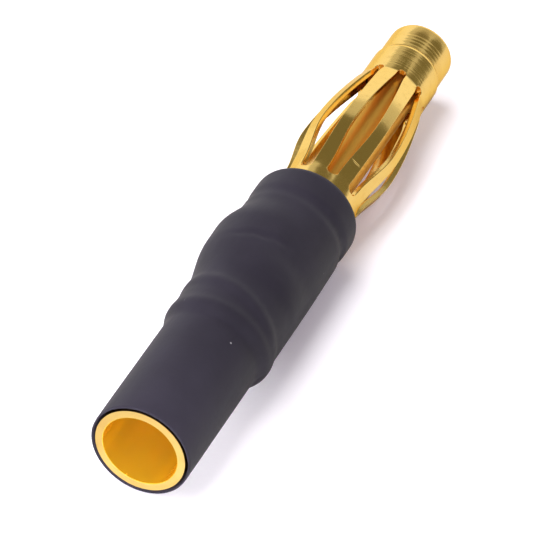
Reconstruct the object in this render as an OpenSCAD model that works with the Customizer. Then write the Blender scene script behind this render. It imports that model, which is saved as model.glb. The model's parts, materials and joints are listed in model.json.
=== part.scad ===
// Bullet adapter for a battery lead: a socket at one end and a caged plug at
// the other, soldered back to back under one piece of heat-shrink tube.
// +X runs along the axis from the socket's mouth to the plug's tip, +Z is up,
// and the origin is the centre of the socket's mouth. The part lies on its side.

/* [Socket] */
// Outside diameter of the socket
socket_d = 4.25; // [4:0.05:4.4]
// Diameter of the socket's bore
socket_bore_d = 3.5; // [3:0.05:3.7]
// Depth of the socket's bore
socket_bore_depth = 7.5; // [5:0.1:8.5]
// Thickness of the web between the bore and the solder cup
socket_web = 0.8; // [0.4:0.1:1.2]
// Overall length of the socket
socket_len = 11.5; // [11:0.1:12]
// Diameter of the socket's solder cup
socket_cup_d = 3.1; // [2.6:0.05:3.5]

/* [Plug] */
// Bare wire between the two solder cups
joint_gap = 1.3; // [0.8:0.1:2]
// Outside diameter of the plug's solder cup
plug_cup_d = 4.1; // [3.7:0.05:4.15]
// Length of the plug's solder cup
plug_cup_len = 4.5; // [4:0.1:5]
// Diameter inside the plug's solder cup
plug_cup_bore_d = 3; // [2.6:0.05:3.3]
// Depth of the plug's solder cup
plug_cup_depth = 3.6; // [2.5:0.1:4]
// Diameter of the flange that the cage butts against
flange_d = 4.4; // [4.2:0.05:4.45]
// Length of the flange
flange_len = 0.8; // [0.5:0.05:1.2]
// Diameter of the pin inside the cage
pin_d = 2.36; // [1.8:0.02:2.5]
// Diameter of the head in front of the cage
head_d = 3.26; // [3.1:0.02:3.36]
// Length of the head
head_len = 2; // [1.4:0.1:2.5]
// Radius of the round at the head's front edge
head_round = 0.3; // [0.1:0.02:0.6]

/* [Spring cage] */
// Number of bowed strips
strips = 9; // [7:1:10]
// Width of a strip
strip_w = 0.76; // [0.5:0.02:0.8]
// Thickness of the sheet that the cage is rolled from
sheet = 0.26; // [0.2:0.01:0.3]
// Outside diameter of the rear collar
rear_collar_d = 3.84; // [3.7:0.02:3.9]
// Length of the rear collar
rear_collar_len = 1.35; // [1.2:0.05:1.6]
// Diameter over the bowed strips
bulge_d = 4.75; // [4.2:0.05:4.9]
// Length of the strips between the collars
slot_len = 8.45; // [8:0.05:10]
// How far in front of the rear collar the cage is widest
bulge_at = 3.4; // [3:0.1:4.5]
// Outside diameter of the front collar
front_collar_d = 3.42; // [3.4:0.02:3.6]
// Length of the front collar
front_collar_len = 2.1; // [1.6:0.05:2.5]
// Bevel at the front collar's front edge
collar_bevel = 0.1; // [0.05:0.01:0.15]
// Direction of the first slot round the axis, in degrees from +Y towards +Z
slot_bearing = 71.5; // [60:0.5:80]
// Width of the seam where the rolled sheet meets
seam = 0.06; // [0.03:0.01:0.1]

/* [Solder joint] */
// Diameter of the wire between the cups
wire_d = 2.05; // [1.5:0.05:2.3]
// How far the wire stops short of each cup's floor
wire_end_gap = 0.3; // [0.1:0.05:0.6]

/* [Sleeve] */
// Wall of the shrunk tube
sleeve_wall = 0.21; // [0.15:0.01:0.25]
// Where the tube leaves the socket and starts to crease
crease_start = 6.9; // [6:0.1:7.2]
// Outside diameter of the tube over the joint
sleeve_joint_d = 5.04; // [4.98:0.02:5.2]
// How far the tube's end covers the cage's rear collar
sleeve_lap = 0.2; // [0.15:0.05:0.4]
// Length of the round at the tube's closed-in end
sleeve_end_round = 0.5; // [0.3:0.05:0.6]
// Height of the swelling on one side of the joint
swelling_h = 0.46; // [0.2:0.02:0.6]
// Height of the axis over the surface that the sleeve lies on
lie_h = 2.53; // [2.5:0.01:2.56]

/* [Fits] */
// Clearance between pieces that are pushed together
push_fit = 0.01; // [0.005:0.005:0.02]

/* [Hidden] */
$fn = 96;

gold = [0.92, 0.72, 0.33];
tube_black = [0.2, 0.19, 0.22];
solder_grey = [0.72, 0.73, 0.75];
copper = [0.75, 0.42, 0.28];

eps = 0.01;

// Places along X
socket_floor_x = socket_bore_depth + socket_web;
plug_x = socket_len + joint_gap;
plug_floor_x = plug_x + plug_cup_depth;
flange_x = plug_x + plug_cup_len;
cage_x = flange_x + flange_len;
slot_x = cage_x + rear_collar_len;
bulge_x = slot_x + bulge_at;
slot_end_x = slot_x + slot_len;
head_x = slot_end_x + front_collar_len;
tip_x = head_x + head_len;
sleeve_end_x = cage_x + sleeve_lap;

// Turns a profile of [place along X, radius] points into a solid on the X axis.
module turned(profile) {
    rotate([0, 90, 0])
        rotate_extrude()
            polygon([for (p = profile) [p[1], p[0]]]);
}

// ---------------------------------------------------------------- socket

rim_bevel = 0.04;

module socket() {
    r = socket_d / 2;
    bore_r = socket_bore_d / 2;
    cup_r = socket_cup_d / 2;
    color(gold)
        turned([
            [0, bore_r], [0, r - rim_bevel], [rim_bevel, r], [socket_len, r],
            [socket_len, cup_r], [socket_floor_x, cup_r], [socket_floor_x, 0],
            [socket_bore_depth, 0], [socket_bore_depth, bore_r]
        ]);
}

// ------------------------------------------------------------- plug core

seat_r = rear_collar_d / 2 - sheet - push_fit;
land_r = front_collar_d / 2 - sheet - push_fit;
land_len = front_collar_len - 0.15;

module plug_core() {
    cup_r = plug_cup_d / 2;
    bore_r = plug_cup_bore_d / 2;
    pin_r = pin_d / 2;
    head_r = head_d / 2;
    color(gold)
        rotate([0, 90, 0])
            rotate_extrude() {
                difference() {
                    polygon([
                        [0, plug_x], [cup_r, plug_x], [cup_r, flange_x],
                        [flange_d / 2, flange_x], [flange_d / 2, cage_x],
                        [seat_r, cage_x], [seat_r, slot_x - push_fit],
                        [pin_r, slot_x + seat_r - pin_r],
                        [pin_r, head_x - land_len - (land_r - pin_r)],
                        [land_r, head_x - land_len], [land_r, head_x],
                        [head_r, head_x], [head_r, tip_x - head_round],
                        [head_r - head_round, tip_x - head_round],
                        [head_r - head_round, tip_x], [0, tip_x]
                    ]);
                    translate([-eps, plug_x - eps])
                        square([bore_r + eps, plug_cup_depth + eps]);
                }
                // The head's rounded edge
                intersection() {
                    translate([head_r - head_round, tip_x - head_round])
                        circle(head_round);
                    translate([0, head_x])
                        square([head_r, head_len]);
                }
            }
}

// ----------------------------------------------------------- spring cage

// Outside radius of the bowed strips: an S-curve up from the rear collar to
// the widest place, then a long quarter wave down to the front collar.
function bow_r(x) =
    let (rear = rear_collar_d / 2, peak = bulge_d / 2, front = front_collar_d / 2)
    x < bulge_x
        ? rear + (peak - rear) * (1 - cos(180 * (x - slot_x) / bulge_at)) / 2
        : front + (peak - front)
            * cos(90 * (x - bulge_x) / (slot_end_x - bulge_x));

// Half the width of a slot, so that every strip keeps the same width.
function slot_half(x) = PI * bow_r(x) / strips - strip_w / 2;

pitch = 360 / strips;
bow_steps = 22;
bow_xs = [for (i = [0 : bow_steps]) slot_x + slot_len * i / bow_steps];

module bowed_wall() {
    turned(concat(
        [for (x = bow_xs) [x, bow_r(x)]],
        [for (i = [bow_steps : -1 : 0]) [bow_xs[i], bow_r(bow_xs[i]) - sheet]]
    ));
}

// Puts its children, made on the +Y side, at every slot or, half a pitch on,
// at every strip.
module round_cage(turn) {
    for (i = [0 : strips - 1])
        rotate([slot_bearing + pitch * (i + turn), 0, 0])
            children();
}

// A collar of the rolled sheet, cut by the seam and by the slots' round ends.
module collar(profile, slot_end) {
    difference() {
        turned(profile);
        round_cage(0)
            translate([slot_end, 0, 0])
                rotate([-90, 0, 0])
                    cylinder(h = bulge_d, r = slot_half(slot_end));
        rotate([slot_bearing + pitch * ceil(strips / 2), 0, 0])
            translate([cage_x - eps, 0, -seam / 2])
                cube([head_x - cage_x + 2 * eps, bulge_d, seam]);
    }
}

module spring_cage() {
    rear = rear_collar_d / 2;
    front = front_collar_d / 2;
    color(gold) {
        collar([[cage_x, rear - sheet], [cage_x, rear], [slot_x, rear],
                [slot_x, rear - sheet]], slot_x);
        intersection() {
            bowed_wall();
            round_cage(0.5)
                translate([cage_x, pin_d / 2, -strip_w / 2])
                    cube([head_x - cage_x, bulge_d, strip_w]);
        }
        collar([[slot_end_x, front - sheet], [slot_end_x, front],
                [head_x - collar_bevel, front], [head_x, front - collar_bevel],
                [head_x, front - sheet]], slot_end_x);
    }
}

// ---------------------------------------------------------- solder joint

wire_from = socket_floor_x + wire_end_gap;
wire_to = plug_floor_x - wire_end_gap;

module link_wire() {
    color(copper)
        turned([[wire_from, 0], [wire_from, wire_d / 2], [wire_to, wire_d / 2], [wire_to, 0]]);
}

// Solder that fills a cup round the wire's end. It runs from the cup's floor
// to its mouth, and its face dips a little between the rim and the wire.
module cup_fill(cup_d, floor_x, wire_x, mouth_x) {
    dip = 0.2 * sign(floor_x - mouth_x);
    mid_r = (cup_d + wire_d) / 4;
    color(solder_grey)
        turned([
            [floor_x, 0], [floor_x, cup_d / 2], [mouth_x, cup_d / 2],
            [mouth_x + dip, mid_r], [mouth_x, wire_d / 2], [wire_x, wire_d / 2], [wire_x, 0]
        ]);
}

module socket_solder() {
    cup_fill(socket_cup_d, socket_floor_x, wire_from, socket_len);
}

module plug_solder() {
    cup_fill(plug_cup_bore_d, plug_floor_x, wire_to, plug_x);
}

// ---------------------------------------------------------------- sleeve

// Bearings are in degrees round the axis, from +Y towards +Z.
top_bearing = 118;

// Goes smoothly from 0 at a to 1 at b.
function ease(x, a, b) =
    let (t = min(1, max(0, (x - a) / (b - a)))) t * t * (3 - 2 * t);

// 1 at the given bearing, falling smoothly to 0 at spread degrees to each side.
function side(phi, bearing, spread) =
    let (d = abs((phi - bearing + 540) % 360 - 180))
    d < spread ? (1 + cos(180 * d / spread)) / 2 : 0;

// A fold: it starts at a, is full from b to c and is gone at d.
function fold(x, a, b, c, d) = ease(x, a, b) * (1 - ease(x, c, d));

// The folds dip towards the mouth on top and run back at the sides, the neck
// and the step where the tube leaves the socket less than the first crest.
function run_back(phi) = 1 - cos(phi - top_bearing);
step_lag = 0.15;
crest_lag = 0.5;
neck_lag = 0.3;

// The crests stand highest on top.
function crest_h(phi) = 0.06 + 0.06 * max(0, cos(phi - top_bearing));

swell_x = (crease_start + flange_x) / 2;

function folds(x, phi) =
    let (
        first = crease_start + crest_lag * run_back(phi),
        second = crease_start + 2.05 + 0.65 * cos(phi - 20),
        crease = swell_x + 0.5 + 0.01 * (phi - 90),
        neck = flange_x - 1.05 + neck_lag * run_back(phi)
    )
    // First crest, all the way round
    crest_h(phi) * fold(x, first, first + 0.45, first + 0.55, first + 1.25)
    // Second crest, on a slant
    + crest_h(phi) * fold(x, second - 0.5, second - 0.1, second + 0.05, second + 0.5)
    // Low shoulder on top, before the swelling
    + 0.12 * fold(x, swell_x - 2.1, swell_x - 1.3, swell_x - 0.9, swell_x + 0.4)
        * side(phi, 130, 80)
    // The swelling, on one side
    + swelling_h * fold(x, swell_x - 2.1, swell_x + 0.6, swell_x + 1.7, swell_x + 3.7)
        * side(phi, 35, 115)
    // Sharp crease across the swelling's foot
    - 0.1 * fold(x, crease - 0.2, crease, crease, crease + 0.2) * side(phi, 92, 45)
    // Neck behind the flange
    - (0.09 - 0.05 * cos(phi - 27)) * fold(x, neck - 0.55, neck - 0.05, neck + 0.05, neck + 0.4)
    // Bump on the flange, underneath
    + 0.16 * fold(x, flange_x - 0.7, flange_x - 0.2, flange_x + 0.5, cage_x + 0.1)
        * side(phi, 270, 60);

sleeve_socket_r = socket_d / 2 + sleeve_wall;

// The tube over the joint is a little thicker across from the swelling, and
// leans towards the swelling's side where it nears the flange.
function joint_r(x, phi) =
    let (near_flange = ease(x, swell_x, flange_x))
    sleeve_joint_d / 2 + (0.04 + 0.06 * cos(phi - 27)) * near_flange
    + 0.05 * side(phi, 207, 90) * (1 - near_flange);

function open_r(x, phi) =
    let (
        start = crease_start + step_lag * run_back(phi),
        step = ease(x, start, start + 0.9)
    )
    sleeve_socket_r + (joint_r(x, phi) - sleeve_socket_r) * step + folds(x, phi);

// The tube lies on the surface with a small flat under each crest.
function flat_r(phi) = sin(phi) < -0.5 ? lie_h / -sin(phi) : 2 * lie_h;

mouth_round = 0.06;
end_hug_r = rear_collar_d / 2 + push_fit;

function outer_r(x, phi) =
    let (
        r = min(open_r(x, phi), flat_r(phi)),
        end_x = sleeve_end_x - sleeve_end_round,
        t = max(0, (x - end_x) / sleeve_end_round),
        m = max(0, 1 - x / mouth_round),
        end_r = end_hug_r + 0.1
    )
    t > 0
        ? end_r + (r - end_r) * sqrt(max(0, 1 - t * t))
        : r - mouth_round * (1 - sqrt(1 - m * m));

// Radius of the metal that the tube hugs, with the fit between them
function metal_r(x) =
    (x <= socket_len ? socket_d / 2 : x < flange_x ? plug_cup_d / 2
        : x <= cage_x ? flange_d / 2 : rear_collar_d / 2) + push_fit;

around = 64;
corner = 1 / cos(180 / around);

outer_xs = concat(
    [0, mouth_round / 3, mouth_round, crease_start - 0.3],
    [for (x = [crease_start - 0.1 : 0.2 : sleeve_end_x - sleeve_end_round]) x],
    [for (t = [0.15 : 0.17 : 1]) sleeve_end_x + sleeve_end_round * (t - 1)],
    [sleeve_end_x]
);
inner_xs = concat(
    [sleeve_end_x, cage_x, cage_x, flange_x],
    [for (x = [flange_x - 0.05 : -0.7 : crease_start + 0.2]) x],
    [crease_start - 0.1, 0]
);

function inner_r(i) =
    i == 0 || i == 1 ? end_hug_r
    : metal_r(inner_xs[i]);

function ring(x, rs) =
    [for (j = [0 : around - 1]) let (phi = 360 * j / around)
        [x, rs[j] * cos(phi), rs[j] * sin(phi)]];

module sleeve() {
    phis = [for (j = [0 : around - 1]) 360 * j / around];
    outer = [for (x = outer_xs) ring(x, [for (phi = phis) outer_r(x, phi)])];
    inner = [for (i = [0 : len(inner_xs) - 1])
        let (x = inner_xs[i])
        ring(x, [for (phi = phis)
            x > crease_start && x < flange_x
                ? max(metal_r(x) * corner, outer_r(x, phi) - sleeve_wall)
                : inner_r(i) * corner])];
    rings = concat(outer, inner);
    n = len(rings);
    color(tube_black)
        polyhedron(
            points = [for (r = rings) each r],
            faces = [for (i = [0 : n - 1], j = [0 : around - 1])
                let (a = i * around, b = (i + 1) % n * around, k = (j + 1) % around)
                each [[a + j, a + k, b + j], [a + k, b + k, b + j]]],
            convexity = 6
        );
}

socket();
plug_core();
spring_cage();
link_wire();
socket_solder();
plug_solder();
sleeve();
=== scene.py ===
"""Looks of a battery lead adapter: a gold-plated socket and caged plug, joined under a shrunk tube."""

import json
import math

import bpy
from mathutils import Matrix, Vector


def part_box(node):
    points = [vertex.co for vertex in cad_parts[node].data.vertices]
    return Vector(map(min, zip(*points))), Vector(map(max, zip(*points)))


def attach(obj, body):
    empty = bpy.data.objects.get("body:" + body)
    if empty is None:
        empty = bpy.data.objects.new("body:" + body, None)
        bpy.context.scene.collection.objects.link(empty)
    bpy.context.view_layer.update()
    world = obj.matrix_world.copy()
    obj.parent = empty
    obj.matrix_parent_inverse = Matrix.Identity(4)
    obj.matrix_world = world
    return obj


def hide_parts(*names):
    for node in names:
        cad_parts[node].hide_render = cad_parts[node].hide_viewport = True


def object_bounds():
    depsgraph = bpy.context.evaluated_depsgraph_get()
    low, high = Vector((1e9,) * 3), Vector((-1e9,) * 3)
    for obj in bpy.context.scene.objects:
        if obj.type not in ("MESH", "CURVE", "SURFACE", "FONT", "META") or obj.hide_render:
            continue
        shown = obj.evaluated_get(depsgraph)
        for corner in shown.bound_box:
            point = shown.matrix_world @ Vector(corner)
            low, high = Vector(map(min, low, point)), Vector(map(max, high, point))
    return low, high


bl_info = {
    "name": "Bullet adapter looks",
    "version": (1, 0, 0),
    "blender": (4, 5, 0),
    "location": "3D View > Sidebar > Adapter",
    "description": "Builds the turned, stamped and shrunk pieces of a battery lead adapter",
    "category": "Add Mesh",
}

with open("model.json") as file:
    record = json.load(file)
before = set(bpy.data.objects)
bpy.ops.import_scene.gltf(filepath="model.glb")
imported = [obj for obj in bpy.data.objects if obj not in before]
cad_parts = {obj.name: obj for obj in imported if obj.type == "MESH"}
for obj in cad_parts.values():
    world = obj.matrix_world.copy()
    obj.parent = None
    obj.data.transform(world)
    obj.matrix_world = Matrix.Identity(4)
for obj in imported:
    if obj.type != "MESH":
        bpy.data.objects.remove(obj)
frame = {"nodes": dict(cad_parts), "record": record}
cad_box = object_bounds()

MM = 0.001
MICRON = 0.000001
FULL_TURN = 2 * math.pi

SOCKET_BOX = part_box("socket")
CORE_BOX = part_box("plug_core")
CAGE_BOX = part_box("spring_cage")
BORE = next(m for m in frame["record"]["mounts"] if m["name"] == "socket_bore")

# The crease in one of the strips: its middle, half its length and its width
CREASE_AT = (20.6 * MM, -1.32 * MM, 1.54 * MM)
CREASE_HALF = 0.44 * MM
CREASE_WIDTH = 60 * MICRON

# Where the largest speck of dust on the sleeve is
SPECK_AT = (6.2 * MM, -1.5 * MM, 1.79 * MM)

# Pitches from the head's rear edge to its first groove
GROOVES_START = 0.6

# Steps along a strip, across it, round a slot's end, the head's rim, any other edge and a turned piece
STRIP_STEPS = 36
STRIP_COLUMNS = 10
SLOT_END_STEPS = 6
RIM_STEPS = 8
EDGE_STEPS = 3
LATHE_STEPS = 144

# How far the faces at an edge turn before it counts as sharp
SHARP_ANGLE = math.radians(40)

# Marks of the lathe, the rolls and the tube's skin: cells per metre along X, Y and Z
TURNING = (9000.0, 60.0, 60.0)
COLLAR_TURNING = (6000.0, 90.0, 90.0)
ROLLING = (300.0, 9000.0, 9000.0)
STRANDS = (300.0, 4000.0, 4000.0)
DRAG = (420.0, 2200.0, 2200.0)

# How much darker the plating's deeper tone is
TONE_SPREAD = 0.95

# The room round the part, as parts of a ray's direction: each layer of its ceiling starts above a
# height, or over a slanted line beyond the part, and has its own tone
WALLS = (1.0, 1.0, 1.0)
CEILING = (
    (0.467, 0.51, (0.57, 0.57, 0.53)),
    (0.62, 0.7, (0.17, 0.16, 0.1)),
)
CEILING_EDGE = 0.012
CEILING_SLANT = 0.6


def length(name, description, default):
    """A size that the sidebar shows in the scene's length unit."""
    return bpy.props.FloatProperty(
        name=name, description=description, default=default, unit="LENGTH", precision=6
    )


def colour(name, description, default):
    """A colour that the sidebar shows as a swatch."""
    return bpy.props.FloatVectorProperty(
        name=name, description=description, default=default, subtype="COLOR", size=3, min=0, max=1
    )


def angle(name, description, degrees):
    """An angle that the sidebar shows in degrees."""
    return bpy.props.FloatProperty(
        name=name, description=description, default=math.radians(degrees), subtype="ANGLE"
    )


def number(name, description, default):
    """A plain number, such as a power in watts."""
    return bpy.props.FloatProperty(name=name, description=description, default=default)


def offset(name, description, default):
    """A step from one place to another."""
    return bpy.props.FloatVectorProperty(
        name=name, description=description, default=default, subtype="TRANSLATION",
        unit="LENGTH", size=3
    )


def count(name, description, default):
    """A whole number of like things."""
    return bpy.props.IntProperty(name=name, description=description, default=default)


def share(name, description, default):
    """A number from 0 to 1."""
    return bpy.props.FloatProperty(name=name, description=description, default=default, min=0, max=1)


class AdapterGold(bpy.types.PropertyGroup):
    plating: colour("Plating", "Colour of the gold plating", (1.0, 0.7, 0.24))
    glancing: colour("Glancing", "Colour of the plating at a glancing angle", (1.0, 0.8, 0.42))
    turned_roughness: share("Turned roughness", "Roughness of the turned pieces", 0.13)
    sheet_roughness: share("Sheet roughness", "Roughness of the cage's rolled sheet", 0.13)
    # Bore tone is painted reflection: the deep orange of light bouncing between the bore's gold walls.
    bore_painted_reflection_tone: colour("Bore tone", "Colour of the plating inside the bore", (1.0, 0.62, 0.03))
    # Pin tone is painted shade and reflection: the darker orange of the pin in the strips' shadow, lit
    # by light bounced off them.
    pin_painted_shade_tone: colour("Pin tone", "Colour of the plating on the pin inside the cage", (0.88, 0.47, 0.08))
    bore_roughness: share("Bore roughness", "Roughness of the bore's drilled wall", 0.2)
    core_roughness: share("Core roughness", "Roughness of the pin inside the cage", 0.3)
    inner_matt: share("Inner matt", "How much of the bore's and the pin's plating is matt", 0.35)
    edge_round: length("Edge round", "Round along the turned pieces' edges", 0.02 * MM)


class AdapterSocket(bpy.types.PropertyGroup):
    outer_radius: length("Outer radius", "Outside radius of the socket", SOCKET_BOX[1].y)
    bore_radius: length("Bore radius", "Radius of the bore", BORE["dims"]["r_mm"] * MM)
    bore_depth: length("Bore depth", "Depth of the bore", BORE["dims"]["length_mm"] * MM)
    web: length("Web", "Web between the bore and the solder cup", 0.8 * MM)
    cup_radius: length("Cup radius", "Radius of the solder cup", 1.55 * MM)


class AdapterPlug(bpy.types.PropertyGroup):
    cup_radius: length("Cup radius", "Outside radius of the solder cup", 2.05 * MM)
    cup_length: length("Cup length", "Length of the solder cup", 4.5 * MM)
    cup_bore_radius: length("Cup bore", "Radius inside the solder cup", 1.5 * MM)
    cup_depth: length("Cup depth", "Depth of the solder cup", 3.6 * MM)
    flange_radius: length("Flange radius", "Radius of the flange behind the cage", 2.2 * MM)
    seat_radius: length("Seat radius", "Radius of the seat under the rear collar", 1.65 * MM)
    pin_radius: length("Pin radius", "Radius of the pin inside the cage", 1.18 * MM)
    land_radius: length("Land radius", "Radius of the land under the front collar", 1.44 * MM)
    head_radius: length("Head radius", "Radius of the head in front of the cage", 1.63 * MM)
    head_gap: length("Head gap", "Gap between the cage and the head", 0.05 * MM)
    head_round: length("Head round", "Round at the head's front edge", 0.3 * MM)
    land_start: length("Land start", "From the cage's slots to the land", 0.75 * MM)
    grooves: count("Grooves", "Turning grooves on the head", 4)
    groove_pitch: length("Groove pitch", "Spacing of the turning grooves on the head", 0.24 * MM)
    groove_depth: length("Groove depth", "Depth of the turning grooves", 0.003 * MM)


class AdapterCage(bpy.types.PropertyGroup):
    strips: count("Strips", "Number of bowed strips", 9)
    strip_width: length("Strip width", "Width of each bowed strip", 0.76 * MM)
    sheet: length("Sheet", "Thickness of the rolled sheet", 0.26 * MM)
    rear_radius: length("Rear radius", "Outside radius of the rear collar", 1.92 * MM)
    rear_length: length("Rear length", "Length of the rear collar", 1.35 * MM)
    bulge_radius: length("Bulge radius", "Radius over the bowed strips", 2.375 * MM)
    bulge_place: length("Bulge place", "From the rear collar to the widest place", 3.4 * MM)
    slot_length: length("Slot length", "Length of the strips between the collars", 8.45 * MM)
    front_radius: length("Front radius", "Outside radius of the front collar", 1.71 * MM)
    front_taper: length("Front taper", "How far the front collar's edge is drawn in", 0.07 * MM)
    taper_length: length("Taper length", "Length of the front collar's drawn-in edge", 0.2 * MM)
    edge_round: length("Edge round", "Round along the stamped edges", 0.034 * MM)
    seam: length("Seam", "Gap where the rolled sheet meets", 0.06 * MM)
    seam_bearing: angle("Seam bearing", "Direction of the seam round the axis, from +Y to +Z", 271.5)
    flat_blend: length("Flat blend", "Length over which a strip's ends turn flat", 0.5 * MM)


class AdapterSleeve(bpy.types.PropertyGroup):
    tube: colour("Tube", "Colour of the shrunk tube", (0.0255, 0.022, 0.034))
    roughness: share("Roughness", "Roughness of the tube's skin", 0.5)
    lip: length("Lip", "Length of the crisp lip at each end", 0.02 * MM)
    rounding: count("Rounding", "Subdivision levels", 1)


class AdapterStage(bpy.types.PropertyGroup):
    floor: colour("Floor", "Colour of the floor", (0.9, 0.88, 0.93))
    floor_size: length("Floor size", "Side of the floor", 1.2)
    camera_distance: length("Camera distance", "From the camera to the adapter", 188.9 * MM)
    camera_azimuth: angle("Camera azimuth", "Direction of the camera round the adapter", 293.5)
    camera_elevation: angle("Camera elevation", "Height of the camera over the horizon", 38.3)
    pivot: length("Pivot", "From the socket's mouth to the camera's turning point", 15.11 * MM)
    aim_right: length("Aim right", "How far right of the pivot the camera aims", -0.466 * MM)
    aim_up: length("Aim up", "How far above the pivot the camera aims", -0.944 * MM)
    lens: number("Lens", "Focal length in mm", 277.07)
    top_power: number("Top power", "Watts of the top lamp", 2.25)
    top_size: length("Top size", "Side of the top lamp", 0.35)
    top_place: offset("Top place", "From the pivot to the top lamp", (0.04, 0.12, 0.50))
    key_power: number("Key power", "Watts of the key lamp", 0.5)
    key_size: length("Key size", "Side of the key lamp", 0.25)
    key_place: offset("Key place", "From the pivot to the key lamp", (-0.24, 0.10, 0.30))
    mouth_power: number("Mouth power", "Watts of the narrow lamp into the bore", 11.0)
    mouth_size: length("Mouth size", "Radius of the narrow lamp", 4 * MM)
    mouth_cone: angle("Mouth cone", "Width of the narrow lamp's cone", 1.1)
    mouth_blend: share("Mouth blend", "Softness of the cone's edge", 0.3)
    mouth_place: offset("Mouth place", "From the mouth to the narrow lamp", (-0.175, -0.045, 0.09))
    floor_glow: share("Floor glow", "Light that the floor adds where it is seen", 0.2)
    # Mirrored is painted reflection: a darker floor tone that only the gold's reflections show.
    mirrored: colour("Mirrored", "Colour of the floor where the gold mirrors it", (0.64, 0.62, 0.6))
    glow_tint: colour("Glow tint", "Colour of the light that the floor adds", (0.95, 0.8, 1.0))


# ------------------------------------------------------------ shader maths


class Wire:
    """One output socket of a node tree, which adds Math nodes when it is used in a sum."""

    def __init__(self, sheet, socket):
        self.sheet = sheet
        self.socket = socket

    def maths(self, operation, first, second):
        return self.sheet.add("ShaderNodeMath", {"operation": operation}, {0: first, 1: second})

    def __add__(self, other):
        return self.maths("ADD", self, other)

    def __radd__(self, other):
        return self.maths("ADD", other, self)

    def __sub__(self, other):
        return self.maths("SUBTRACT", self, other)

    def __rsub__(self, other):
        return self.maths("SUBTRACT", other, self)

    def __mul__(self, other):
        return self.maths("MULTIPLY", self, other)

    def __rmul__(self, other):
        return self.maths("MULTIPLY", other, self)

    def __pow__(self, other):
        return self.maths("POWER", self, other)

    def larger(self, other):
        return self.maths("MAXIMUM", self, other)


class NodeSheet:
    """Adds nodes to one material's or world's tree."""

    def __init__(self, tree):
        self.tree = tree
        tree.nodes.clear()

    def add(self, kind, settings=None, values=None, out=0):
        """Adds a node, sets it up, fills its sockets and returns the wire of one output."""
        node = self.tree.nodes.new(kind)
        for name, value in (settings or {}).items():
            setattr(node, name, value)
        for name, value in (values or {}).items():
            if isinstance(value, Wire):
                self.tree.links.new(value.socket, node.inputs[name])
            else:
                node.inputs[name].default_value = value
        return Wire(self, node.outputs[out]) if node.outputs else None

    def place(self):
        """The piece's own coordinates, in metres, whole and split into X, Y and Z."""
        coords = self.add("ShaderNodeTexCoord", out="Object")
        return coords, self.split(coords)

    def split(self, vector):
        """The three parts of a vector."""
        return [self.add("ShaderNodeSeparateXYZ", None, {0: vector}, out=i) for i in range(3)]

    def stretched(self, coords, scale):
        """Coordinates scaled by three factors."""
        return self.add("ShaderNodeMapping", None, {"Vector": coords, "Scale": scale})

    def noise(self, coords, scale, detail=3.0, rough=0.5):
        values = {"Vector": coords, "Scale": scale, "Detail": detail, "Roughness": rough}
        return self.add("ShaderNodeTexNoise", None, values)

    def smooth(self, value, low, high):
        """Goes smoothly from 0 to 1 as its input passes from low to high."""
        values = {"Value": value, "From Min": low, "From Max": high}
        return self.add("ShaderNodeMapRange", {"interpolation_type": "SMOOTHSTEP"}, values)

    def mix(self, factor, first, second):
        """Mixes two colours."""
        def full(c):
            return c if isinstance(c, Wire) else (*c, 1.0)

        values = {0: factor, 6: full(first), 7: full(second)}
        return self.add("ShaderNodeMix", {"data_type": "RGBA"}, values, out=2)

    def near(self, coords, centre, inside, outside):
        """1 inside a ball round a point of the piece and 0 outside a larger one."""
        ends = {0: coords, 1: centre}
        gap = self.add("ShaderNodeVectorMath", {"operation": "DISTANCE"}, ends, out=1)
        return 1 - self.smooth(gap, inside, outside)

    def crease(self, coords, centre, half):
        """A thin ridge across the piece at a point, as long as twice the given half."""
        ends = {0: coords, 1: centre}
        wide = self.add("ShaderNodeVectorMath", {"operation": "SUBTRACT"}, ends)
        along = self.stretched(wide, (half / CREASE_WIDTH, 1.0, 1.0))
        return self.near(along, (0, 0, 0), half * 0.2, half)

    def bump(self, height, strength, distance, normal=None):
        values = {"Height": height, "Strength": strength, "Distance": distance}
        if normal is not None:
            values["Normal"] = normal
        return self.add("ShaderNodeBump", None, values)


def new_material(name):
    material = bpy.data.materials.new(name)
    material.use_nodes = True
    return material, NodeSheet(material.node_tree)


def finish_material(sheet, values):
    shader = sheet.add("ShaderNodeBsdfPrincipled", None, values)
    sheet.add("ShaderNodeOutputMaterial", None, {"Surface": shader})


def turned_gold(gold, name, inner_radius, inner_end, inner_roughness, inner_painted_light_tone):
    """Gold plating over turned brass: fine rings, soft smudges, and a duller inner part whose deeper
    tone is painted shade and reflection of the light bouncing inside it.
    """
    material, sheet = new_material(name)
    coords, (x, y, z) = sheet.place()
    rings = sheet.noise(sheet.stretched(coords, TURNING), 1.0, 3.0, 0.6)
    smudge = sheet.noise(coords, 900.0, 3.0)
    plain = tuple(gold.plating)
    base = sheet.mix(sheet.smooth(smudge, 0.35, 0.75), plain, darker(plain, TONE_SPREAD))
    radius = (y * y + z * z) ** 0.5
    outer = sheet.smooth(radius, inner_radius + 10 * MICRON, inner_radius + 50 * MICRON)
    inner = (1 - outer) * (1 - sheet.smooth(x, inner_end, inner_end + 200 * MICRON))
    rough = gold.turned_roughness + 0.08 * sheet.smooth(smudge, 0.45, 0.8) + 0.04 * (rings - 0.5)
    rough = rough + inner * (inner_roughness - gold.turned_roughness)
    # Painted shade and reflection: the inner part's deeper tone stands in for the shade and the light
    # bouncing between the gold walls there.
    base = sheet.mix(inner, base, tuple(inner_painted_light_tone))
    finish_material(sheet, {
        "Base Color": base, "Metallic": 1 - gold.inner_matt * inner, "Roughness": rough,
        "Specular Tint": (*gold.glancing, 1), "Normal": sheet.bump(rings, 0.4, 6 * MICRON),
    })
    return material


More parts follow.
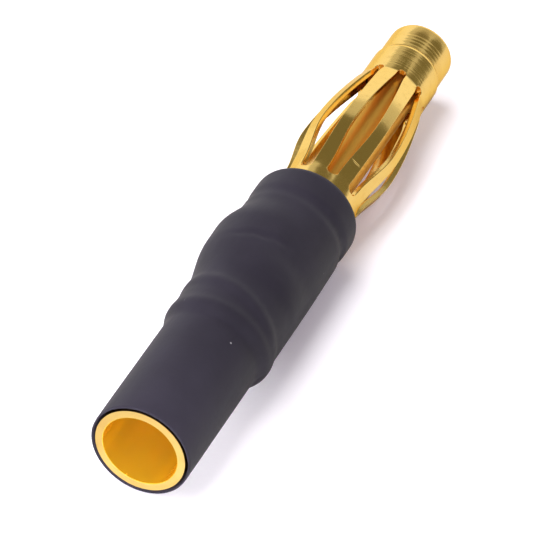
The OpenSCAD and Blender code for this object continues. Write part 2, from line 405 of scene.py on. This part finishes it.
def sheet_gold(gold, cage):
    """Gold plating over rolled spring sheet: fine mottle, and turning marks on the front collar."""
    material, sheet = new_material("sheet_gold")
    coords, (x, _, _) = sheet.place()
    lines = sheet.noise(sheet.stretched(coords, ROLLING), 1.0, 3.0, 0.6)
    mottle = sheet.noise(coords, 2600.0, 3.0, 0.6)
    marks = sheet.noise(sheet.stretched(coords, COLLAR_TURNING), 1.0, 2.0, 0.5)
    slots_end = CAGE_BOX[0].x + cage.rear_length + cage.slot_length
    collar = sheet.smooth(x, slots_end, slots_end + 500 * MICRON)
    plain = tuple(gold.plating)
    base = sheet.mix(sheet.smooth(mottle, 0.45, 0.8), plain, darker(plain, TONE_SPREAD))
    rough = gold.sheet_roughness + 0.06 * sheet.smooth(mottle, 0.5, 0.75) + 0.03 * (lines - 0.5)
    height = lines * 0.15 + mottle * 0.9 + collar * marks * 1.6
    normal = sheet.bump(height, 0.5, 7 * MICRON)
    crease = sheet.crease(coords, CREASE_AT, CREASE_HALF)
    finish_material(sheet, {
        "Base Color": base, "Metallic": 1.0, "Roughness": rough,
        "Specular Tint": (*gold.glancing, 1), "Normal": sheet.bump(crease, 0.8, 20 * MICRON, normal),
    })
    return material


def darker(plating, factor):
    """A slightly deeper tone of the plating."""
    return plating[0] * factor, plating[1] * factor ** 2, plating[2] * factor ** 3


def shrunk_tube(sleeve):
    """Satin shrink tube: a soft orange-peel skin with faint drag marks and specks of dust."""
    material, sheet = new_material("shrunk_tube")
    coords, _ = sheet.place()
    peel = sheet.noise(coords, 4200.0, 3.0, 0.55)
    cloud = sheet.noise(coords, 520.0, 3.0, 0.5)
    drag = sheet.noise(sheet.stretched(coords, DRAG), 1.0, 3.0)
    dust = sheet.smooth(sheet.noise(coords, 2600.0, 0.0), 0.9, 0.92) * 0.2
    speck = sheet.near(coords, SPECK_AT, 25 * MICRON, 60 * MICRON)
    tube = tuple(sleeve.tube)
    body = sheet.mix(sheet.smooth(cloud, 0.3, 0.75), tube, tuple(c * 1.2 for c in tube))
    base = sheet.mix(dust.larger(speck), body, (0.32, 0.3, 0.34))
    rough = sleeve.roughness + 0.1 * (cloud - 0.5) + 0.1 * (drag - 0.5)
    height = peel * 0.4 + drag * 0.4 + cloud * 1.6
    finish_material(sheet, {
        "Base Color": base, "Roughness": rough, "Specular IOR Level": 0.19,
        "Normal": sheet.bump(height, 0.4, 30 * MICRON),
    })
    return material


def soft_solder():
    """Bright solder with a slightly grained, frosted skin."""
    material, sheet = new_material("soft_solder")
    coords, _ = sheet.place()
    grain = sheet.noise(coords, 3000.0, 4.0, 0.6)
    base = sheet.mix(sheet.smooth(grain, 0.4, 0.7), (0.62, 0.62, 0.63), (0.48, 0.48, 0.5))
    finish_material(sheet, {
        "Base Color": base, "Metallic": 1.0, "Roughness": 0.22 + 0.2 * grain,
        "Normal": sheet.bump(grain, 0.5, 10 * MICRON),
    })
    return material


def bare_copper():
    """Stranded copper, drawn and slightly oxidised."""
    material, sheet = new_material("bare_copper")
    coords, _ = sheet.place()
    strands = sheet.noise(sheet.stretched(coords, STRANDS), 1.0, 3.0)
    base = sheet.mix(strands, (0.78, 0.36, 0.2), (0.5, 0.2, 0.1))
    finish_material(sheet, {
        "Base Color": base, "Metallic": 1.0, "Roughness": 0.3 + 0.2 * strands,
        "Normal": sheet.bump(strands, 0.6, 20 * MICRON),
    })
    return material


# --------------------------------------------------------------- modelling


def nothing_selected():
    """Leaves object mode with nothing selected."""
    if bpy.context.object and bpy.context.object.mode != "OBJECT":
        bpy.ops.object.mode_set(mode="OBJECT")
    bpy.ops.object.select_all(action="DESELECT")


def start_point(name, place):
    """A new mesh, in edit mode, that holds one selected point."""
    nothing_selected()
    bpy.ops.mesh.primitive_plane_add(size=MM, location=(0, 0, 0))
    piece = bpy.context.object
    piece.name = name
    piece.data.name = name
    bpy.ops.object.mode_set(mode="EDIT")
    bpy.ops.mesh.select_mode(type="VERT")
    bpy.ops.mesh.select_all(action="SELECT")
    bpy.ops.mesh.merge(type="CENTER")
    bpy.ops.transform.translate(value=place)
    return piece


def extrude_by(step):
    bpy.ops.mesh.extrude_region_move(TRANSFORM_OT_translate={"value": step})


def face_outwards(piece):
    """Turns the mesh right side out if most of it faces the axis."""
    mesh = piece.data
    out = sum(p.area * (p.normal.y * p.center.y + p.normal.z * p.center.z) for p in mesh.polygons)
    if out < 0:
        bpy.ops.object.mode_set(mode="EDIT")
        bpy.ops.mesh.select_all(action="SELECT")
        bpy.ops.mesh.flip_normals()
        bpy.ops.object.mode_set(mode="OBJECT")


def apply_modifier(piece, kind, **settings):
    """Adds a modifier with these settings and applies it."""
    modifier = piece.modifiers.new(kind.title(), kind)
    for name, value in settings.items():
        setattr(modifier, name, value)
    bpy.ops.object.modifier_apply(modifier=modifier.name)


def round_edges(piece, width):
    """Smooths the faces and rounds every sharp edge."""
    nothing_selected()
    piece.select_set(True)
    bpy.context.view_layer.objects.active = piece
    bpy.ops.object.shade_smooth()
    apply_modifier(
        piece, "BEVEL", width=width, segments=EDGE_STEPS, limit_method="ANGLE",
        angle_limit=SHARP_ANGLE, harden_normals=True, use_clamp_overlap=False,
    )


def turned_blank(name, profile):
    """Spins a profile of (place along X, radius) points round the X axis, as on a lathe."""
    first = profile[0]
    piece = start_point(name, (first[0], 0, first[1]))
    for (x0, r0), (x1, r1) in zip(profile, profile[1:]):
        extrude_by((x1 - x0, 0, r1 - r0))
    bpy.ops.mesh.select_all(action="SELECT")
    bpy.ops.mesh.spin(steps=LATHE_STEPS, angle=FULL_TURN, center=(0, 0, 0), axis=(1, 0, 0))
    bpy.ops.mesh.select_all(action="SELECT")
    bpy.ops.mesh.remove_doubles(threshold=MICRON / 2)
    bpy.ops.mesh.normals_make_consistent(inside=False)
    bpy.ops.object.mode_set(mode="OBJECT")
    return piece


def rounded_rim(x, r, radius):
    """Points of a quarter round, from facing outwards to facing along X."""
    turns = [math.radians(90 - 90 * i / RIM_STEPS) for i in range(RIM_STEPS + 1)]
    return [(x + radius * math.cos(t), r + radius * math.sin(t)) for t in turns]


def hand_over(piece, material, slot, *nodes):
    """Gives a piece its finish and lets it stand for its CAD nodes."""
    piece.data.materials.clear()
    piece.data.materials.append(material)
    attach(piece, "root")
    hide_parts(*nodes)


class ADAPTER_OT_socket(bpy.types.Operator):
    """Turn the plated socket with its bore and solder cup"""

    bl_idname = "adapter.socket"
    bl_label = "Socket"

    def execute(self, context):
        sizes = context.scene.adapter_socket
        gold = context.scene.adapter_gold
        left = SOCKET_BOX[0].x
        right = SOCKET_BOX[1].x
        floor = left + sizes.bore_depth
        profile = [
            (floor, 0), (floor, sizes.bore_radius), (left, sizes.bore_radius),
            (left, sizes.outer_radius), (right, sizes.outer_radius), (right, sizes.cup_radius),
            (floor + sizes.web, sizes.cup_radius), (floor + sizes.web, 0),
        ]
        piece = turned_blank("socket_shell", profile)
        round_edges(piece, gold.edge_round)
        # The bore's tone is painted reflection of the light bounced inside it.
        inside = (sizes.bore_radius, floor, gold.bore_roughness, gold.bore_painted_reflection_tone)
        material = turned_gold(gold, "socket_gold", *inside)
        hand_over(piece, material, "plated_brass", "socket")
        return {"FINISHED"}


class ADAPTER_OT_plug_core(bpy.types.Operator):
    """Turn the plug's solder cup, flange, pin and head from one bar"""

    bl_idname = "adapter.plug_core"
    bl_label = "Plug core"

    def execute(self, context):
        sizes = context.scene.adapter_plug
        cage = context.scene.adapter_cage
        gold = context.scene.adapter_gold
        cup_x = CORE_BOX[0].x
        tip_x = CORE_BOX[1].x
        flange_x = cup_x + sizes.cup_length
        cage_x = CAGE_BOX[0].x
        head_x = CAGE_BOX[1].x + sizes.head_gap
        slot_x = cage_x + cage.rear_length
        neck_x = slot_x + cage.slot_length + sizes.land_start
        head = [(head_x, sizes.head_radius)]
        low = sizes.head_radius - sizes.groove_depth
        quarter = sizes.groove_pitch / 4
        for i in range(sizes.grooves):
            x = head_x + (i + GROOVES_START) * sizes.groove_pitch
            head += [
                (x, sizes.head_radius), (x + quarter, low),
                (x + 2 * quarter, low), (x + 3 * quarter, sizes.head_radius),
            ]
        round_r = sizes.head_round
        rim = rounded_rim(tip_x - round_r, sizes.head_radius - round_r, round_r)
        profile = [
            (cup_x + sizes.cup_depth, 0), (cup_x + sizes.cup_depth, sizes.cup_bore_radius),
            (cup_x, sizes.cup_bore_radius), (cup_x, sizes.cup_radius), (flange_x, sizes.cup_radius),
            (flange_x, sizes.flange_radius), (cage_x, sizes.flange_radius), (cage_x, sizes.seat_radius),
            (slot_x - 10 * MICRON, sizes.seat_radius),
            (slot_x + sizes.seat_radius - sizes.pin_radius, sizes.pin_radius),
            (neck_x - (sizes.land_radius - sizes.pin_radius), sizes.pin_radius),
            (neck_x, sizes.land_radius), (head_x, sizes.land_radius), *head, *rim, (tip_x, 0),
        ]
        piece = turned_blank("plug_pin", profile)
        round_edges(piece, gold.edge_round)
        under_land = sizes.land_radius - 0.05 * MM
        # The pin's tone is painted shade and reflection from inside the cage.
        inside = (under_land, neck_x, gold.core_roughness, gold.pin_painted_shade_tone)
        material = turned_gold(gold, "plug_gold", *inside)
        hand_over(piece, material, "plated_brass", "plug_core")
        return {"FINISHED"}


def bow(cage, x):
    """Outside radius of the cage at a distance from the rear end of its slots."""
    peak = cage.bulge_radius
    if x <= 0:
        return cage.rear_radius
    if x < cage.bulge_place:
        wave = (1 - math.cos(math.pi * x / cage.bulge_place)) / 2
        return cage.rear_radius + (peak - cage.rear_radius) * wave
    if x >= cage.slot_length:
        return cage.front_radius
    quarter = math.pi / 2 * (x - cage.bulge_place) / (cage.slot_length - cage.bulge_place)
    return cage.front_radius + (peak - cage.front_radius) * math.cos(quarter)


def cage_rows(cage):
    """Rows along one strip: place along X, radius, and how much of a pitch the metal takes."""
    start = CAGE_BOX[0].x
    end = CAGE_BOX[1].x
    slot_x = start + cage.rear_length
    slot_end_x = slot_x + cage.slot_length

    def metal(x, slot_half):
        around = FULL_TURN * bow(cage, x - slot_x) / cage.strips
        return 1 - 2 * slot_half / around

    def slot_half_at(x):
        return math.pi * bow(cage, x - slot_x) / cage.strips - cage.strip_width / 2

    rear = slot_half_at(slot_x)
    front = slot_half_at(slot_end_x)
    plain = cage.rear_length - rear
    rows = [(start, 1.0), (start + 0.3 * plain, 1.0), (start + 0.7 * plain, 1.0)]
    turns = [math.radians(90 * i / SLOT_END_STEPS) for i in range(SLOT_END_STEPS + 1)]
    rows += [(slot_x - rear * math.cos(t), metal(slot_x, rear * math.sin(t))) for t in turns]
    for i in range(1, STRIP_STEPS):
        x = slot_x + cage.slot_length * i / STRIP_STEPS
        rows.append((x, metal(x, slot_half_at(x))))
    rows += [
        (slot_end_x + front * math.sin(t), metal(slot_end_x, front * math.cos(t))) for t in turns
    ]
    last = slot_end_x + front
    taper = end - cage.taper_length
    support = taper - 15 * MICRON
    rows += [((last + support) / 2, 1.0), (support, 1.0), (taper, 1.0), (end, 1.0)]
    return [(x, bow(cage, x - slot_x), part) for x, part in rows]


def stamped_strip(cage):
    """One strip of the flat sheet, bowed but not yet rolled: Z runs round the cage."""
    pitch = FULL_TURN * cage.rear_radius / cage.strips
    rows = cage_rows(cage)
    x, radius, _ = rows[0]
    drop = cage.rear_radius - radius
    piece = start_point("cage_sheet", (x, drop, -pitch / 2))
    for _ in range(STRIP_COLUMNS):
        extrude_by((0, 0, pitch / STRIP_COLUMNS))
    bpy.ops.mesh.select_all(action="SELECT")
    for (x0, r0, w0), (x1, r1, w1) in zip(rows, rows[1:]):
        extrude_by((x1 - x0, r0 - r1, 0))
        bpy.ops.transform.resize(value=(1, 1, w1 / w0), center_override=(0, 0, 0))
    bpy.ops.object.mode_set(mode="OBJECT")
    return piece, pitch


def flatten_strip(piece, cage):
    """Bends the strip backwards between its slots, so that it is flat across once rolled."""
    group = piece.vertex_groups.new(name="strip")
    slot_x = CAGE_BOX[0].x + cage.rear_length
    for point in piece.data.vertices:
        inside = min(point.co.x - slot_x, slot_x + cage.slot_length - point.co.x)
        group.add([point.index], min(1, max(0, inside / cage.flat_blend)), "REPLACE")
    apply_modifier(
        piece, "SIMPLE_DEFORM", deform_method="BEND", deform_axis="X",
        angle=-FULL_TURN / cage.strips, vertex_group=group.name,
    )
    piece.vertex_groups.clear()


class ADAPTER_OT_spring_cage(bpy.types.Operator):
    """Stamp, bow and roll the plug's spring cage from one sheet"""

    bl_idname = "adapter.spring_cage"
    bl_label = "Spring cage"

    def execute(self, context):
        cage = context.scene.adapter_cage
        gold = context.scene.adapter_gold
        piece, pitch = stamped_strip(cage)
        flatten_strip(piece, cage)
        bpy.ops.object.mode_set(mode="EDIT")
        bpy.ops.mesh.select_all(action="SELECT")
        bpy.ops.transform.translate(value=(0, 0, -pitch * (cage.strips - 1) / 2))
        bpy.ops.object.mode_set(mode="OBJECT")
        apply_modifier(
            piece, "ARRAY", count=cage.strips, use_relative_offset=False, use_constant_offset=True,
            constant_offset_displace=(0, 0, pitch), use_merge_vertices=True, merge_threshold=MICRON,
        )
        whole = pitch * cage.strips
        apply_modifier(
            piece, "SIMPLE_DEFORM", deform_method="BEND", deform_axis="X",
            angle=FULL_TURN * (1 - cage.seam / whole),
        )
        bpy.ops.object.mode_set(mode="EDIT")
        bpy.ops.mesh.select_all(action="SELECT")
        bpy.ops.mesh.remove_doubles(threshold=MICRON)
        radius_of_roll = cage.rear_radius / (1 - cage.seam / whole)
        bpy.ops.transform.translate(value=(0, -radius_of_roll, 0))
        bpy.ops.object.mode_set(mode="OBJECT")
        piece.rotation_euler = (cage.seam_bearing, 0, 0)
        bpy.ops.object.transform_apply(location=True, rotation=True, scale=True)
        face_outwards(piece)
        apply_modifier(piece, "SOLIDIFY", thickness=cage.sheet, offset=-1, use_even_offset=True)
        self.taper_front(piece, cage)
        round_edges(piece, cage.edge_round)
        hand_over(piece, sheet_gold(gold, cage), "plated_spring", "spring_cage")
        return {"FINISHED"}

    @staticmethod
    def taper_front(piece, cage):
        """Draws in the outer edge of the front collar."""
        end = CAGE_BOX[1].x
        for part in (piece.data.vertices, piece.data.edges, piece.data.polygons):
            part.foreach_set("select", [False] * len(part))
        for point in piece.data.vertices:
            outside = math.hypot(point.co.y, point.co.z) > cage.front_radius - cage.sheet / 2
            point.select = outside and abs(point.co.x - end) < 5 * MICRON
        bpy.ops.object.mode_set(mode="EDIT")
        bpy.ops.mesh.select_mode(type="VERT")
        drawn = 1 - cage.front_taper / cage.front_radius
        bpy.ops.transform.resize(value=(1, drawn, drawn), center_override=(0, 0, 0))
        bpy.ops.object.mode_set(mode="OBJECT")


class ADAPTER_OT_sleeve(bpy.types.Operator):
    """Smooth the shrunk tube over the joint"""

    bl_idname = "adapter.sleeve"
    bl_label = "Sleeve"

    def execute(self, context):
        sleeve = context.scene.adapter_sleeve
        nothing_selected()
        solid = frame["nodes"]["sleeve"]
        piece = solid.copy()
        piece.data = solid.data.copy()
        piece.name = "shrunk_sleeve"
        for label in list(piece.keys()):  # the copy starts without the CAD node's labels
            del piece[label]
        piece.parent = None
        context.scene.collection.objects.link(piece)
        piece.select_set(True)
        context.view_layer.objects.active = piece
        bpy.ops.object.mode_set(mode="EDIT")
        bpy.ops.mesh.select_all(action="SELECT")
        bpy.ops.mesh.remove_doubles(threshold=MICRON)
        bpy.ops.mesh.tris_convert_to_quads()
        for x in (SOCKET_BOX[0].x + sleeve.lip, CAGE_BOX[0].x + sleeve.lip):
            bpy.ops.mesh.select_all(action="SELECT")
            bpy.ops.mesh.bisect(plane_co=(x, 0, 0), plane_no=(1, 0, 0))
        bpy.ops.object.mode_set(mode="OBJECT")
        bpy.ops.object.shade_smooth()
        apply_modifier(piece, "SUBSURF", levels=sleeve.rounding, render_levels=sleeve.rounding)
        hand_over(piece, shrunk_tube(sleeve), "heat_shrink", "sleeve")
        return {"FINISHED"}


class ADAPTER_OT_joint(bpy.types.Operator):
    """Finish the wire and the solder inside the joint"""

    bl_idname = "adapter.joint"
    bl_label = "Solder joint"

    def execute(self, context):
        solder = soft_solder()
        finishes = {"socket_solder": solder, "plug_solder": solder, "link_wire": bare_copper()}
        for name, material in finishes.items():
            mesh = frame["nodes"][name].data
            if not mesh.materials:
                mesh.materials.append(material)
            for i in range(len(mesh.materials)):
                mesh.materials[i] = material
        return {"FINISHED"}


# ------------------------------------------------------------------- stage


def aim(thing, place, target):
    """Puts a lamp or the camera in place and points it at its target."""
    thing.location = place
    thing.rotation_euler = (target - place).to_track_quat("-Z", "Y").to_euler()


def floor_material(stage):
    """A pale floor that takes shadows and shows as white where none falls; in the gold's reflections it
    shows a darker painted tone.
    """
    material, sheet = new_material("pale_floor")
    coords, _ = sheet.place()
    grain = sheet.noise(coords, 40.0, 2.0)
    paint = tuple(stage.floor)
    tone = sheet.mix(grain, paint, tuple(c * 0.99 for c in paint))
    # Painted reflection: where the gold mirrors the floor, the floor takes a darker tone than its own.
    in_gold = sheet.add("ShaderNodeLightPath", out="Is Glossy Ray")
    tone = sheet.mix(in_gold, tone, tuple(stage.mirrored))
    matt = sheet.add("ShaderNodeBsdfDiffuse", None, {"Color": tone})
    tint = (*stage.glow_tint, 1)
    glow = sheet.add("ShaderNodeEmission", None, {"Color": tint, "Strength": stage.floor_glow})
    lifted = sheet.add("ShaderNodeAddShader", None, {0: matt, 1: glow})
    seen = sheet.add("ShaderNodeLightPath", out="Is Camera Ray")
    surface = sheet.add("ShaderNodeMixShader", None, {0: seen, 1: matt, 2: lifted})
    sheet.add("ShaderNodeOutputMaterial", None, {"Surface": surface})
    return material


def room_light(world):
    """White walls, and past the socket's end a dim ceiling that comes down low on one side."""
    world.use_nodes = True
    sheet = NodeSheet(world.node_tree)
    ray = sheet.add("ShaderNodeTexCoord", out="Generated")
    x, y, z = sheet.split(ray)
    slant = CEILING_SLANT * z - y
    beyond = sheet.smooth(x, -0.05, 0.1)
    ahead = sheet.smooth(x, -0.4, -0.2)
    room = WALLS
    for height, side, tone in CEILING:
        over = sheet.smooth(slant, side - CEILING_EDGE, side + CEILING_EDGE)
        above = sheet.smooth(z, height - CEILING_EDGE, height + CEILING_EDGE).larger(over * beyond)
        room = sheet.mix(above * ahead, room, tone)
    seen = sheet.add("ShaderNodeLightPath", out="Is Camera Ray")
    shown = sheet.mix(seen, room, WALLS)
    light = sheet.add("ShaderNodeBackground", None, {"Color": shown, "Strength": 1.0})
    sheet.add("ShaderNodeOutputWorld", None, {"Surface": light})


class ADAPTER_OT_stage(bpy.types.Operator):
    """Lay the floor and set the lamps, the room and the camera"""

    bl_idname = "adapter.stage"
    bl_label = "Stage"

    def execute(self, context):
        stage = context.scene.adapter_stage
        scene = context.scene
        self.lay_floor(stage, cad_box[0].z)
        pivot = Vector((SOCKET_BOX[0].x + stage.pivot, 0, 0))
        self.set_camera(scene, stage, pivot)
        self.set_lamps(stage, pivot)
        if scene.world is None:
            scene.world = bpy.data.worlds.new("room")
        room_light(scene.world)
        scene.view_settings.view_transform = "Standard"
        return {"FINISHED"}

    @staticmethod
    def lay_floor(stage, height):
        nothing_selected()
        bpy.ops.mesh.primitive_plane_add(size=stage.floor_size, location=(0, 0, 0))
        floor = bpy.context.object
        floor.name = "floor"
        bpy.ops.object.mode_set(mode="EDIT")
        bpy.ops.mesh.select_all(action="SELECT")
        bpy.ops.transform.translate(value=(0, 0, height))
        bpy.ops.object.mode_set(mode="OBJECT")
        floor.data.materials.append(floor_material(stage))

    @staticmethod
    def set_camera(scene, stage, pivot):
        level = math.cos(stage.camera_elevation)
        back = Vector((
            math.sin(stage.camera_azimuth) * level,
            -math.cos(stage.camera_azimuth) * level,
            math.sin(stage.camera_elevation),
        ))
        right = Vector((0, 0, 1)).cross(back).normalized()
        up = back.cross(right)
        target = pivot + right * stage.aim_right + up * stage.aim_up
        camera = bpy.data.objects.new("camera", bpy.data.cameras.new("camera"))
        scene.collection.objects.link(camera)
        camera.data.lens = stage.lens
        camera.data.sensor_width = 36
        camera.data.clip_start = 10 * MM
        camera.data.clip_end = 10
        aim(camera, pivot + back * stage.camera_distance, target)
        scene.camera = camera

    @staticmethod
    def add_lamp(kind, name, power, target, step):
        """A lamp that lights its target from a step away and isn't mirrored in the gold."""
        nothing_selected()
        bpy.ops.object.light_add(type=kind, location=(0, 0, 0))
        lamp = bpy.context.object
        lamp.name = name
        lamp.data.energy = power
        lamp.visible_glossy = False
        aim(lamp, target + step, target)
        return lamp.data

    def set_lamps(self, stage, pivot):
        top = self.add_lamp("AREA", "top", stage.top_power, pivot, stage.top_place)
        top.size = stage.top_size
        key = self.add_lamp("AREA", "key", stage.key_power, pivot, stage.key_place)
        key.size = stage.key_size
        mouth = Vector((SOCKET_BOX[0].x, 0, 0))
        narrow = self.add_lamp("SPOT", "mouth", stage.mouth_power, mouth, stage.mouth_place)
        narrow.spot_size = stage.mouth_cone
        narrow.spot_blend = stage.mouth_blend
        narrow.shadow_soft_size = stage.mouth_size


class ADAPTER_PT_sidebar(bpy.types.Panel):
    """The adapter's pieces and sizes"""

    bl_idname = "ADAPTER_PT_sidebar"
    bl_label = "Bullet adapter"
    bl_space_type = "VIEW_3D"
    bl_region_type = "UI"
    bl_category = "Adapter"

    def draw(self, context):
        for title, group in GROUPS.items():
            box = self.layout.box()
            box.label(text=title)
            sizes = getattr(context.scene, group.store)
            for name in group.__annotations__:
                box.prop(sizes, name)
        for operator in OPERATORS:
            self.layout.operator(operator.bl_idname)


AdapterGold.store = "adapter_gold"
AdapterSocket.store = "adapter_socket"
AdapterPlug.store = "adapter_plug"
AdapterCage.store = "adapter_cage"
AdapterSleeve.store = "adapter_sleeve"
AdapterStage.store = "adapter_stage"

GROUPS = {
    "Gold": AdapterGold, "Socket": AdapterSocket, "Plug": AdapterPlug,
    "Cage": AdapterCage, "Sleeve": AdapterSleeve, "Stage": AdapterStage,
}
OPERATORS = (
    ADAPTER_OT_stage, ADAPTER_OT_socket, ADAPTER_OT_plug_core, ADAPTER_OT_spring_cage,
    ADAPTER_OT_sleeve, ADAPTER_OT_joint,
)


def register():
    for cls in (*GROUPS.values(), *OPERATORS, ADAPTER_PT_sidebar):
        bpy.utils.register_class(cls)
    for group in GROUPS.values():
        setattr(bpy.types.Scene, group.store, bpy.props.PointerProperty(type=group))


def unregister():
    for group in GROUPS.values():
        delattr(bpy.types.Scene, group.store)
    for cls in (ADAPTER_PT_sidebar, *reversed(OPERATORS), *reversed(GROUPS.values())):
        bpy.utils.unregister_class(cls)


def main():
    register()
    bpy.ops.adapter.stage()
    bpy.ops.adapter.socket()
    bpy.ops.adapter.plug_core()
    bpy.ops.adapter.spring_cage()
    bpy.ops.adapter.sleeve()
    bpy.ops.adapter.joint()


if __name__ == "__main__":
    main()
